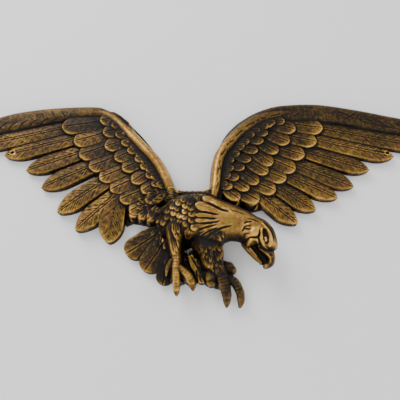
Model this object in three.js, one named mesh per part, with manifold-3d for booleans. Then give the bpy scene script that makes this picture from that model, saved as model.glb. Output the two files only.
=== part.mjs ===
// A cast metal eagle for a wall, wings spread, head turned down to the viewer's right.
// Millimetres. X runs to the viewer's right and Z up; the wall is the plane Y = 0 and the
// relief stands out from it towards -Y. Heights below are distances from the wall.
import * as THREE from "three";
import { mergeVertices } from "three/addons/utils/BufferGeometryUtils.js";
import Module from "manifold-3d";

const wasm = await Module();
wasm.setup();

// Driving dimensions
const WING_TIP_X = 320;
const WING_TIP_Z = 124;
const WEB_HEIGHT = 7.5;
const BED_HEIGHT = 10;
const BACK_PANEL_HEIGHT = 22;
const BAR_HEIGHT = 12;
const BAR_SWELL = 12;
const BAR_SWELL_SHARE = 0.35;
const BAR_THIN_SHARE = 0.6;
const BED_SETBACK = 0.3;
const FEATHER_RIDGE = 2.2;
const FEATHER_TILT = 1.4;
const COVERT_DROP = 2.2;
const LIMB_SIDES = 9;
const TOE_SIDES = 7;
const SCALE_PITCH = 9.2;
const SCALE_RADIUS = 5;
const SCALE_SHAPE = [1, 0.55, 1.1];
const SCALE_COLUMN_SPACING = 0.9;
const SCALE_ROW_SPACING = 0.85;
const SCALE_FIELD_REACH = 2.3;
const BREAST_X = -22;
const BREAST_Z = -4;
const BREAST_HEIGHT = 36;
const BREAST_CURVE = 0.006;
const PLUME_HEIGHT = 37.5;
const PLUME_WIDTH = 10;
const EYE_RADIUS = 3.2;
const EYE_CENTRE = [75.5, -33.5, 45];
const NAIL_HOLE_RADIUS = 2.2;
const NAIL_HOLE_X = 252;
const NAIL_HOLE_Z = 95;
const BODY_POCKET_DEPTH = 22;
const POCKETS_PER_WING = 4;
const POCKET_RIB = 8;
const POCKET_TAPER = 0.8;
const CUT_DEPTH = 60;
const CUT_HEIGHT = 400;

// A feather's half width at shares of its length, and the section of a mound
const featherPlan = [[0, 0.7], [0.45, 1], [0.8, 0.94], [0.94, 0.66], [1, 0.26]];
const moundArch = [
  [-1, 0], [-1, 0.45], [-0.8, 0.8], [-0.4, 0.97], [0.4, 0.97], [0.8, 0.8], [1, 0.45], [1, 0],
];

const leftWing = {
  leadingEdge: [
    [-290, 146], [-254, 158], [-206, 165], [-150, 167], [-118, 157],
    [-84, 126], [-56, 89], [-39, 54], [-30, 34],
  ],
  inner: [
    [-30, -8], [-58, -11], [-68, -6], [-84, -3], [-93, -7], [-106, 14], [-132, 52], [-160, 88],
    [-200, 118],
  ],
  band: [
    [-142, 159, 12, 8], [-200, 155, 11.5, 10.5], [-254, 144, 11, 13.5], [-296, 130, 10, 12],
    [-312, 125, 9, 8.5], [-WING_TIP_X, WING_TIP_Z, 8, 3],
  ],
  bar: { path: [[-34, 26], [-44, 54], [-62, 90], [-90, 126], [-128, 156], [-160, 160]], half: 6 },
  primaries: {
    roots: [[-135, 148], [-116, 124], [-94, 84], [-81, 52]],
    tips: [[-300, 107], [-263, 92], [-230, 69], [-206, 44], [-181, 10], [-155, -14]],
    width: [25, 28], rim: [6.5, 9.5], drop: [-2, -6], bend: 0.035,
  },
  single: { root: [-101, 30], tip: [-112, -29.5], width: 32, rim: 9.5, drop: -5, bend: -0.15 },
  coverts: [
    { count: 9, tips: [[-203, 151], [-163, 92], [-116, 36], [-86, 7]],
      roots: [[-137, 157], [-108, 112], [-70, 50], [-56, 22]],
      width: [19, 22], rim: [12, 17], bend: 0.03 },
    { count: 7, tips: [[-146, 136], [-128, 94], [-92, 48], [-68, 22]],
      roots: [[-112, 148], [-90, 112], [-60, 60], [-46, 34]],
      width: [20, 17], rim: [14, 20], bend: 0.03 },
    { count: 5, tips: [[-112, 124], [-90, 84], [-62, 42]],
      roots: [[-94, 132], [-70, 94], [-46, 50]],
      width: [15, 14], rim: [16, 22], bend: 0.03 },
    { count: 4, tips: [[-87, 2], [-68, -3], [-52, -7]],
      roots: [[-62, 20], [-46, 14], [-32, 8]],
      width: [14, 12], rim: [16, 20], bend: 0.04 },
  ],
  pockets: { spine: [[-200, 140], [-150, 134], [-104, 92], [-70, 34]], half: 15, depth: [4.5, 6.5] },
};

const rightWing = {
  leadingEdge: [
    [10, 34], [15, 60], [21, 92], [40, 129], [72, 155],
    [118, 170], [165, 171.5], [216, 164], [256, 155], [290, 147],
  ],
  inner: [[196, 116], [160, 84], [128, 46], [98, 20], [66, 12], [28, 14]],
  band: [
    [142, 161, 12, 9], [200, 153, 11.5, 13], [254, 141, 11, 14], [296, 130.5, 10, 12],
    [312, 125.5, 9, 8.5], [WING_TIP_X, WING_TIP_Z, 8, 3],
  ],
  bar: { path: [[16, 26], [20, 62], [27, 92], [46, 128], [76, 151], [116, 163], [158, 163]], half: 5.5 },
  primaries: {
    roots: [[108, 148], [104, 128], [92, 86], [66, 40]],
    tips: [[300, 106], [260, 90], [224, 70], [200, 46], [177, 30], [147, 13], [122, -5]],
    width: [25, 25], rim: [6.5, 9.5], drop: [-2, -6], bend: -0.03,
  },
  coverts: [
    { count: 7, tips: [[170, 131], [139, 88], [98, 36], [74, 19]],
      roots: [[126, 142], [97, 100], [68, 52], [56, 40]],
      width: [20, 19], rim: [12, 17], bend: -0.03 },
    { count: 8, tips: [[131, 130], [104, 92], [76, 46], [50, 21]],
      roots: [[90, 141], [70, 100], [51, 62], [34, 36]],
      width: [18, 15], rim: [14, 20], bend: -0.03 },
    { count: 6, tips: [[94, 122], [76, 88], [48, 51]],
      roots: [[64, 130], [45, 94], [27, 60]],
      width: [16, 14], rim: [16, 22], bend: -0.03 },
  ],
  pockets: { spine: [[200, 136], [144, 128], [92, 92], [56, 34]], half: 15, depth: [4.5, 6.5] },
};

// The tail's feathers, from the outermost on the viewer's left to the one behind the right leg
const tail = [
  { root: [-46, -14], tip: [-90.5, -43.5], width: 29, rim: 8, drop: -4, bend: 0.02 },
  { root: [-42, -26], tip: [-67, -64.5], width: 28, rim: 8, drop: -4, bend: 0.02 },
  { root: [-34, -38], tip: [-45, -80.5], width: 21, rim: 7.5, drop: -3, bend: 0.02 },
  { root: [-22, -36], tip: [-25, -80.5], width: 19, rim: 7, drop: -3, bend: 0.02 },
  { root: [-8, -40], tip: [-11, -81.5], width: 17, rim: 7, drop: -3, bend: 0.02 },
  { root: [-12, -46], tip: [5, -79], width: 14, rim: 9, drop: -3, bend: 0.02 },
  { root: [8, -50], tip: [14, -82.5], width: 16, rim: 7, drop: -3, bend: 0.02 },
  { root: [18, -55], tip: [22, -85], width: 12, rim: 7, drop: -3, bend: 0.02 },
];

// Each station of a limb: x, z, height of its middle, half width in the wall's plane, half depth
const neck = [
  [-14, -2, 12, 26, 20], [14, -2, 18, 26, 21], [38, -8, 23, 23, 20], [56, -15, 27, 21, 18],
  [67, -23, 29, 20, 17], [75, -31, 31, 16.5, 15], [80, -39, 32, 11.5, 11],
];
const beak = [
  [80, -37, 33, 8, 9], [82, -45, 33, 6.5, 7.5], [82, -53, 32, 5, 6],
  [79.5, -60, 30.5, 5, 5], [75, -64.5, 29, 2, 2.4],
];
const mandible = [
  [55, -34, 29, 5, 7], [60, -44, 29.5, 4.2, 6], [64.5, -51, 29, 2.6, 4.5], [69.5, -58, 28.5, 1.4, 2],
];
const brow = [[69, -13, 42, 2.4, 3], [79, -21, 43.5, 3, 4], [84.5, -31, 42.5, 3, 4], [84, -41, 39, 2, 3]];
const mouth = [[58, -36, 29, 5, 3], [66, -46, 29, 5.5, 3], [72, -56, 28.5, 4.6, 2.6]];
const legs = [
  [[-30, -16, 22, 12, 14], [-30, -32, 24, 9, 12], [-29, -46, 24, 6.5, 9], [-28, -60, 24, 4.6, 6]],
  [
    [4, -30, 14, 15, 16], [13, -42, 18, 15, 14], [15, -55, 19, 14, 12], [20, -64, 20, 10, 9],
    [24, -71, 20, 6.5, 7],
  ],
];
const toes = [
  [[-28, -57, 25, 4.6, 5], [-27.5, -74, 24, 4, 4.6], [-27, -87, 21, 3.6, 4], [-27, -95, 16, 1.2, 1.6]],
  [[-26, -62, 24, 4, 4.6], [-14.5, -71, 22, 3.8, 4.2], [-10, -79, 18, 3.6, 3.6], [-8.3, -89, 13, 1.2, 1.6]],
  [[-33, -56, 22, 4, 4.6], [-38, -63, 16, 3.4, 4], [-40, -70, 11, 1.4, 2]],
  [[22, -64, 21, 7, 7], [27.5, -79, 19, 6.4, 6], [31, -94, 15, 5.4, 5], [31, -107, 9, 1.4, 2]],
  [[28, -71, 16, 5.4, 6], [41, -79, 15, 5.2, 5.4], [47.4, -92, 12, 4.8, 5], [46.6, -107.5, 6, 1.6, 2]],
  [[12.5, -62, 17, 5, 5], [13, -71, 17, 7, 6.5], [13.5, -78, 14, 5.6, 5], [14, -83, 10, 2, 2.4]],
  [[25, -57, 12, 5.4, 6], [34, -61.5, 12, 7.6, 7.4], [40, -64, 12, 4, 4.6]],
];
const torso = [
  [-52, -12, 14, 9], [-42, -8, 26, 20], [-22, -1, 36, 28], [4, 0, 38, 29], [24, -4, 36, 24],
];
const nape = { tips: [[26, 6], [20, -10], [14, -24]], roots: [[-10, 14], [-12, -2], [-10, -16]] };
const backPanel = [[-33, 38], [-29, 35.5], [-20, 34.2], [2, 34.2], [9, 35.5], [13, 38], [22, 8], [-40, 8]];
const bodyPockets = [[-30, -4, 15, 15], [28, -6, 15, 14]];

// Places a point given as x, z and its height over the wall
function place(x, z, height) {
  return new THREE.Vector3(x, -height, z);
}

function points2(list) {
  return list.map(([x, z]) => new THREE.Vector2(x, z));
}

function along(list, count) {
  return new THREE.SplineCurve(points2(list)).getSpacedPoints(count - 1);
}

function mix(pair, share) {
  return THREE.MathUtils.lerp(pair[0], pair[1], share);
}

// Turns a closed three.js geometry into a solid
function solid(geometry) {
  geometry.deleteAttribute("normal");
  geometry.deleteAttribute("uv");
  const merged = mergeVertices(geometry, 1e-4);
  return new wasm.Manifold(new wasm.Mesh({
    numProp: 3,
    vertProperties: new Float32Array(merged.attributes.position.array),
    triVerts: new Uint32Array(merged.index.array),
  }));
}

function signedVolume(positions, index) {
  const corner = [new THREE.Vector3(), new THREE.Vector3(), new THREE.Vector3()];
  let sum = 0;
  for (let i = 0; i < index.length; i += 3) {
    corner.forEach((c, k) => c.fromArray(positions, 3 * index[i + k]));
    sum += corner[0].dot(corner[1].cross(corner[2]));
  }
  return sum / 6;
}

// Joins rings of equally many points into one closed body with flat ends
function loft(rings) {
  const sides = rings[0].length;
  const positions = rings.flat().flatMap((p) => p.toArray());
  const index = [];
  for (let r = 0; r + 1 < rings.length; r++) {
    for (let s = 0; s < sides; s++) {
      const a = r * sides + s;
      const b = r * sides + ((s + 1) % sides);
      index.push(a, b, b + sides, a, b + sides, a + sides);
    }
  }
  const last = (rings.length - 1) * sides;
  for (let s = 1; s + 1 < sides; s++) {
    index.push(0, s + 1, s, last, last + s, last + s + 1);
  }
  if (signedVolume(positions, index) < 0) index.reverse();
  const geometry = new THREE.BufferGeometry();
  geometry.setAttribute("position", new THREE.Float32BufferAttribute(positions, 3));
  geometry.setIndex(index);
  return solid(geometry);
}

function slab(outline, height) {
  const shape = new THREE.Shape(points2(outline).map((p) => new THREE.Vector2(p.x, p.y)));
  const geometry = new THREE.ExtrudeGeometry(shape, { depth: height, bevelEnabled: false });
  geometry.rotateX(Math.PI / 2);
  return solid(geometry);
}

// A feather: a low pitched roof over a tongue-shaped plan, its under edge tilted proud
function feather({ root, tip, width, rim, drop, bend, lean }) {
  const run = new THREE.Vector2().subVectors(tip, root);
  const side = new THREE.Vector2(-run.y, run.x);
  const middle = new THREE.Vector2().addVectors(root, tip).multiplyScalar(0.5);
  const path = new THREE.QuadraticBezierCurve(root, middle.addScaledVector(side, bend), tip);
  return loft(featherPlan.map(([t, share]) => {
    const centre = path.getPoint(t);
    const tangent = path.getTangent(t);
    const half = (width / 2) * share;
    const level = rim - drop * (1 - t);
    const corners = [
      [-1, 0], [-1, level + lean * FEATHER_TILT], [0, level + FEATHER_RIDGE],
      [1, level - lean * FEATHER_TILT], [1, 0],
    ];
    return corners.map(([across, height]) => place(
      centre.x - tangent.y * half * across, centre.y + tangent.x * half * across, height));
  }));
}

function featherRow({ roots, tips, count, width, rim, drop, bend }) {
  const ends = count ? along(tips, count) : points2(tips);
  const starts = along(roots, ends.length);
  const lean = -Math.sign(bend);
  return ends.map((tip, i) => {
    const share = i / (ends.length - 1);
    return feather({
      root: starts[i], tip, width: mix(width, share), rim: mix(rim, share),
      drop: mix(drop, share), bend, lean,
    });
  });
}

function singleFeather(shape) {
  const [root, tip] = points2([shape.root, shape.tip]);
  return feather({ ...shape, root, tip, lean: -1 });
}

// A rounded member of oval sections, each section upright on its path in the wall's plane
function limb(stations, sides = LIMB_SIDES) {
  const path = new THREE.SplineCurve(points2(stations));
  return loft(stations.map(([x, z, height, half, depth], i) => {
    const tangent = path.getTangent(i / (stations.length - 1));
    return Array.from({ length: sides }, (_, k) => {
      const angle = (2 * Math.PI * k) / sides;
      const across = half * Math.cos(angle);
      return place(x - tangent.y * across, z + tangent.x * across, height + depth * Math.sin(angle));
    });
  }));
}

// A rounded mound standing on the wall: x, z, height and half width at each station
function mound(stations) {
  const path = new THREE.SplineCurve(points2(stations));
  return loft(stations.map(([x, z, height, half], i) => {
    const tangent = path.getTangent(i / (stations.length - 1));
    return moundArch.map(([across, rise]) => place(
      x - tangent.y * half * across, z + tangent.x * half * across, height * rise));
  }));
}

// The rounded leading edge of a wing, swelling towards the shoulder that its path starts from
function wingBar({ path, half }) {
  const spots = along(path, 2 * path.length);
  return mound(spots.map((p, i) => {
    const swell = THREE.MathUtils.smoothstep(1 - i / (spots.length - 1), 0, BAR_SWELL_SHARE);
    const width = half * mix([BAR_THIN_SHARE, 1], swell);
    return [p.x, p.y, BAR_HEIGHT + BAR_SWELL * swell, width];
  }));
}

// The thicker metal under the covert feathers, from the bar to short of the first row's tips
function covertBed({ bar, coverts: [{ tips, roots }] }) {
  const starts = along(roots, 8);
  const far = along(tips, 8).map((tip, i) => tip.lerp(starts[i], BED_SETBACK));
  return slab([...bar.path, ...far.map((p) => [p.x, p.y])], BED_HEIGHT);
}

function wing(shape) {
  const edge = along(shape.leadingEdge, 22).map((p) => [p.x, p.y]);
  const drop = [COVERT_DROP, COVERT_DROP];
  return [
    slab([...edge, ...shape.inner], WEB_HEIGHT), covertBed(shape), wingBar(shape.bar),
    mound(shape.band), ...featherRow(shape.primaries),
    ...shape.coverts.flatMap((row) => featherRow({ ...row, drop })),
  ];
}

// Overlapping breast scales in a staggered field
function breastScales() {
  const scales = [];
  for (let row = -2; row <= 2; row++) {
    for (let column = -2; column <= 2; column++) {
      const right = (column + 0.5 * (row % 2)) * SCALE_PITCH;
      const up = row * SCALE_PITCH * SCALE_ROW_SPACING;
      const reach = Math.hypot(right, up);
      if (reach > SCALE_FIELD_REACH * SCALE_PITCH) continue;
      const scale = new THREE.SphereGeometry(SCALE_RADIUS, 7, 5);
      scale.scale(...SCALE_SHAPE);
      const height = BREAST_HEIGHT - BREAST_CURVE * reach ** 2;
      scale.translate(BREAST_X + SCALE_COLUMN_SPACING * right, -height, BREAST_Z + up);
      scales.push(solid(scale));
    }
  }
  return scales;
}

function napePlumes() {
  const tips = along(nape.tips, 4);
  return along(nape.roots, 4).map((root, i) => feather({
    root, tip: tips[i], width: PLUME_WIDTH, rim: PLUME_HEIGHT, drop: 1, bend: 0.04, lean: 1,
  }));
}

function eye() {
  const ball = new THREE.SphereGeometry(EYE_RADIUS, 8, 6);
  ball.translate(...place(...EYE_CENTRE).toArray());
  return solid(ball);
}

function nailHole(side) {
  const hole = new THREE.CylinderGeometry(NAIL_HOLE_RADIUS, NAIL_HOLE_RADIUS, CUT_DEPTH, 10);
  hole.translate(side * NAIL_HOLE_X, 0, NAIL_HOLE_Z);
  return solid(hole);
}

// A hollow left in the back by the caster, tapered, and opening on the wall
function pocket(outline, depth) {
  const centre = outline.reduce((sum, p) => sum.add(p), new THREE.Vector2());
  centre.divideScalar(outline.length);
  return loft([[1, -1], [1, 0], [POCKET_TAPER, depth]].map(([share, height]) => outline.map((p) => place(
    centre.x + (p.x - centre.x) * share, centre.y + (p.y - centre.y) * share, height))));
}

// A run of pockets down the middle of a wing, with a rib between each two
function wingPockets({ spine, half, depth }) {
  const path = new THREE.SplineCurve(points2(spine));
  const rib = POCKET_RIB / path.getLength();
  return Array.from({ length: POCKETS_PER_WING }, (_, i) => {
    const start = (i + rib * 2) / POCKETS_PER_WING;
    const end = (i + 1 - rib * 2) / POCKETS_PER_WING;
    const corners = [[start, -1], [end, -1], [end, 1], [start, 1]];
    const outline = corners.map(([t, across]) => {
      const p = path.getPointAt(t);
      const tangent = path.getTangentAt(t);
      return new THREE.Vector2(p.x - tangent.y * half * across, p.y + tangent.x * half * across);
    });
    return pocket(outline, mix(depth, i / (POCKETS_PER_WING - 1)));
  });
}

function bodyPocket([x, z, halfWidth, halfHeight]) {
  const outline = Array.from({ length: 8 }, (_, k) => {
    const angle = (Math.PI * (k + 0.5)) / 4;
    return new THREE.Vector2(x + halfWidth * Math.cos(angle), z + halfHeight * Math.sin(angle));
  });
  return pocket(outline, BODY_POCKET_DEPTH);
}

function eagle() {
  const parts = [
    ...wing(leftWing), ...wing(rightWing), singleFeather(leftWing.single),
    ...tail.map(singleFeather), mound(torso), slab(backPanel, BACK_PANEL_HEIGHT),
    limb(neck, 12), limb(beak), limb(mandible, TOE_SIDES), limb(mouth, TOE_SIDES), limb(brow, 6),
    eye(), ...breastScales(), ...napePlumes(), ...legs.map((leg) => limb(leg)),
    ...toes.map((toe) => limb(toe, TOE_SIDES)),
  ];
  const behind = new THREE.BoxGeometry(2.2 * WING_TIP_X, CUT_DEPTH, CUT_HEIGHT);
  behind.translate(0, CUT_DEPTH / 2, 0);
  const cuts = [
    solid(behind), nailHole(-1), nailHole(1), ...bodyPockets.map(bodyPocket),
    ...wingPockets(leftWing.pockets), ...wingPockets(rightWing.pockets),
  ];
  const cast = parts.reduce((sum, piece) => sum.add(piece));
  return cuts.reduce((sum, piece) => sum.subtract(piece), cast);
}

function toGeometry(body) {
  const mesh = body.getMesh();
  const geometry = new THREE.BufferGeometry();
  geometry.setAttribute("position", new THREE.BufferAttribute(mesh.vertProperties, 3));
  geometry.setIndex(new THREE.BufferAttribute(mesh.triVerts, 1));
  geometry.computeVertexNormals();
  return geometry;
}

const antiqueBrass = new THREE.MeshStandardMaterial({ color: 0x7a6233, roughness: 0.5, metalness: 0.85 });
const casting = new THREE.Mesh(toGeometry(eagle()), antiqueBrass);
casting.name = "eagle_casting";

const plaque = new THREE.Group();
plaque.add(casting);

export default plaque;
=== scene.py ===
"""The eagle wall plaque's visual model: one casting in relief, worked out from its sizes."""
from __future__ import annotations

import logging
import math
import time
from dataclasses import dataclass, field

import bpy
import numpy as np
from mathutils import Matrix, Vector


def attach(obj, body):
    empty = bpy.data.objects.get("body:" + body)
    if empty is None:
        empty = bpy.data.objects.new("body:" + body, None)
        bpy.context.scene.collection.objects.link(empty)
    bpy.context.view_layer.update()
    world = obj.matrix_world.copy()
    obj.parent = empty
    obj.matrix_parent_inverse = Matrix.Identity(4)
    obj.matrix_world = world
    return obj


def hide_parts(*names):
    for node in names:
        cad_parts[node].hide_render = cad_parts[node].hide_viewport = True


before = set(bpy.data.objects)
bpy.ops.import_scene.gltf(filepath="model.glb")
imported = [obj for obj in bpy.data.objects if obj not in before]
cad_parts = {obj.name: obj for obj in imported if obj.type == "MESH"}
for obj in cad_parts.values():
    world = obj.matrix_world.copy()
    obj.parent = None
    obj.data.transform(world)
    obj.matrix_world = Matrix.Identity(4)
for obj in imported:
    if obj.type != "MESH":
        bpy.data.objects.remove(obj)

logging.basicConfig(level=logging.INFO, format="%(message)s")
log = logging.getLogger("plaque")

RELIEF_PITCH = 0.6

Points = list[tuple[float, ...]]
Window = tuple[slice, slice]

FAR = 1.0e3


def spline(points: Points, count: int) -> np.ndarray:
    """Points evenly spaced along a smooth curve through the given ones.

    Args:
        points: Each point's numbers; the first two are x and z.
        count: How many points to give back.

    Returns:
        An array of count rows, every number interpolated alike.
    """
    knots = np.array(points, float)
    padded = np.vstack([knots[:1], knots, knots[-1:]])
    fine = []
    for u in np.linspace(0, len(knots) - 1, 40 * len(knots)):
        i = min(int(u), len(knots) - 2)
        f = u - i
        a, b, c, d = padded[i:i + 4]
        fine.append(0.5 * (2 * b + (c - a) * f + (2 * a - 5 * b + 4 * c - d) * f ** 2
                           + (3 * b - a - 3 * c + d) * f ** 3))
    curve = np.array(fine)
    run = np.concatenate([[0], np.cumsum(np.hypot(*np.diff(curve[:, :2], axis=0).T))])
    spots = np.linspace(0, run[-1], count)
    return np.stack([np.interp(spots, run, curve[:, k]) for k in range(curve.shape[1])], axis=1)


def mix(pair: tuple[float, float], share: float) -> float:
    """The value at a share of the way between two."""
    return pair[0] + (pair[1] - pair[0]) * share


def smooth(value: np.ndarray, low: float, high: float) -> np.ndarray:
    """A soft step from 0 at low to 1 at high."""
    t = np.clip((value - low) / (high - low), 0, 1)
    return t * t * (3 - 2 * t)


def scatter(number: np.ndarray, seed: float) -> np.ndarray:
    """A repeatable random share for each number."""
    return np.modf(np.abs(np.sin(number * 12.9898 + seed * 78.233) * 43758.5453))[0]


def blur(values: np.ndarray, radius: float) -> np.ndarray:
    """A map averaged over a bell-shaped neighbourhood.

    Args:
        values: The map.
        radius: The bell's width in samples.

    Returns:
        The smoothed map.
    """
    reach = max(1, int(3 * radius))
    bell = np.exp(-0.5 * (np.arange(-reach, reach + 1) / radius) ** 2)
    bell /= bell.sum()
    out = values
    for axis in (0, 1):
        edge = [(0, 0), (0, 0)]
        edge[axis] = (reach, reach)
        padded = np.pad(out, edge, mode="edge")
        total = np.zeros_like(out)
        for k, weight in enumerate(bell):
            span = [slice(None), slice(None)]
            span[axis] = slice(k, k + out.shape[axis])
            total += weight * padded[tuple(span)]
        out = total
    return out


@dataclass
class Relief:
    """Height maps over the wall's plane, filled form by form."""

    low: tuple[float, float] = (-325.0, -113.0)
    high: tuple[float, float] = (325.0, 177.0)
    pitch: float = 0.7
    draft: float = 3.5

    def __post_init__(self) -> None:
        """Lays out the empty maps."""
        xs = np.arange(self.low[0], self.high[0], self.pitch)
        zs = np.arange(self.low[1], self.high[1], self.pitch)
        self.x, self.z = np.meshgrid(xs, zs)
        shape = self.x.shape
        self.front = np.zeros(shape)
        self.skirt = np.zeros(shape)
        self.rim = np.zeros(shape)
        self.level = np.full(shape, -2.0)
        self.back = np.full(shape, FAR)
        self.gold = np.zeros(shape)

    def window(self, points: np.ndarray, margin: float) -> Window:
        """The part of the maps around some points.

        Args:
            points: Rows that start with x and z.
            margin: Room left around them.

        Returns:
            Slices for rows and columns.
        """
        spans = []
        for k in (1, 0):
            start = int((points[:, k].min() - margin - self.low[k]) / self.pitch)
            stop = int((points[:, k].max() + margin - self.low[k]) / self.pitch) + 2
            spans.append(slice(max(start, 0), max(stop, 0)))
        return spans[0], spans[1]

    def stamp(self, at: Window, level: np.ndarray, height: np.ndarray, back: np.ndarray | float,
              gold: float | np.ndarray) -> None:
        """Adds one form to the maps.

        Args:
            at: Where in the maps.
            level: Distance inside the form's outline, negative outside.
            height: The form's front.
            back: The form's back, 0 on the wall.
            gold: How brightly it is rubbed, 0 to 1.
        """
        inside = level > 0
        higher = inside & (height > self.front[at])
        self.front[at] = np.where(higher, height, self.front[at])
        self.gold[at] = np.where(higher, gold, self.gold[at])
        near = (level > -4) & ~inside
        slope = height + self.draft * level
        self.skirt[at] = np.where(near, np.maximum(self.skirt[at], slope), self.skirt[at])
        edge = (level > -2) & ~inside & (level > self.level[at])
        self.rim[at] = np.where(edge, height, self.rim[at])
        self.back[at] = np.where(level > -1.5, np.minimum(self.back[at], back), self.back[at])
        self.level[at] = np.maximum(self.level[at], np.clip(level, -2, None))

    def distance(self, at: Window, path: np.ndarray) -> tuple[np.ndarray, np.ndarray]:
        """How far each spot lies from a path.

        Args:
            at: Where in the maps.
            path: Rows of x, z and any further numbers.

        Returns:
            The distance, and the nearest place along the path as a share.
        """
        x, z = self.x[at], self.z[at]
        best = np.full(x.shape, FAR)
        share = np.zeros(x.shape)
        for i in range(len(path) - 1):
            start, run = path[i, :2], path[i + 1, :2] - path[i, :2]
            length = max(math.hypot(*run), 1e-6)
            t = np.clip(((x - start[0]) * run[0] + (z - start[1]) * run[1]) / length ** 2, 0, 1)
            d = np.hypot(x - start[0] - t * run[0], z - start[1] - t * run[1])
            closer = d < best
            best = np.where(closer, d, best)
            share = np.where(closer, (i + t) / (len(path) - 1), share)
        return best, share

    def inside(self, at: Window, loop: np.ndarray) -> np.ndarray:
        """Distance inside a closed outline, negative outside.

        Args:
            at: Where in the maps.
            loop: The outline's points, the first repeated at the end.

        Returns:
            The signed distance.
        """
        x, z = self.x[at], self.z[at]
        best, _ = self.distance(at, loop)
        within = np.zeros(x.shape, bool)
        for (ax, az), (bx, bz) in zip(loop[:-1, :2], loop[1:, :2]):
            if az != bz:
                spans = (az > z) != (bz > z)
                within ^= spans & (x < ax + (z - az) * (bx - ax) / (bz - az))
        return np.where(within, best, -best)

    def carve(self, points: Points, depth: float, width: float, fade: float = 0.2,
              gold: float = 0.0) -> None:
        """Cuts a groove into the front, or raises a bead where depth is negative.

        Args:
            points: The groove's path.
            depth: How deep it is.
            width: Its half width.
            fade: The share of its length over which each end runs out.
            gold: How much brighter it is coloured, darker where negative: rubbing, and on the neck's
                sides and crown painted shade.
        """
        path = spline(points, 24)
        at = self.window(path, 3 * width)
        d, share = self.distance(at, path)
        ends = smooth(share, 0, fade) * smooth(1 - share, 0, fade) if fade > 0 else 1.0
        bell = ends * np.exp(-(d / width) ** 2)
        self.front[at] -= depth * bell * (self.level[at] > 0)
        self.gold[at] += gold * bell

    def sink(self, outline: Points, depth: float, soft: float, gold: float = 0.0) -> None:
        """Lowers an area of the front, or raises it where depth is negative.

        Args:
            outline: The area's outline.
            depth: How deep it is.
            soft: How far its sides run in from the outline.
            gold: How much brighter it is rubbed.
        """
        loop = np.vstack([np.array(outline, float)[:, :2], outline[0][:2]])
        at = self.window(loop, 2)
        share = smooth(self.inside(at, loop), -0.4, soft)
        self.front[at] -= depth * share * (self.level[at] > 0)
        self.gold[at] += gold * share

    def pierce(self, x: float, z: float, radius: float) -> None:
        """Makes a round hole with a slightly raised rim.

        Args:
            x: Its middle.
            z: Its middle.
            radius: Its size.
        """
        d = np.hypot(self.x - x, self.z - z)
        rim = np.exp(-((d - radius - 1) / 0.8) ** 2)
        self.front += 0.7 * rim
        self.gold += 0.5 * rim
        self.level = np.where(d < radius + 3, np.minimum(self.level, d - radius), self.level)

    def hollow(self, outline: Points, depth: float) -> None:
        """Leaves a tapered hollow in the back.

        Args:
            outline: Its mouth on the wall.
            depth: How deep it is.
        """
        loop = np.vstack([np.array(outline, float)[:, :2], outline[0][:2]])
        at = self.window(loop, 2)
        depth_in = np.clip(self.draft * self.inside(at, loop), 0, depth)
        self.back[at] = np.maximum(self.back[at], np.minimum(depth_in, self.front[at] - 2.5))

    def finish(self, softness: float = 0.6) -> None:
        """Joins the maps into the final front, back and outline."""
        inside = self.level > 0
        self.front = np.where(inside, np.maximum(self.front, self.skirt), self.rim)
        known = (self.level > -1.9).astype(float)
        self.front = np.where(known > 0, blur(self.front * known, softness)
                              / np.maximum(blur(known, softness), 1e-6), self.front)
        self.back = np.where(self.back > 0.5 * FAR, 0, self.back)
        self.back = np.clip(np.minimum(self.back, self.front - 1.5), 0, None)


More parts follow.
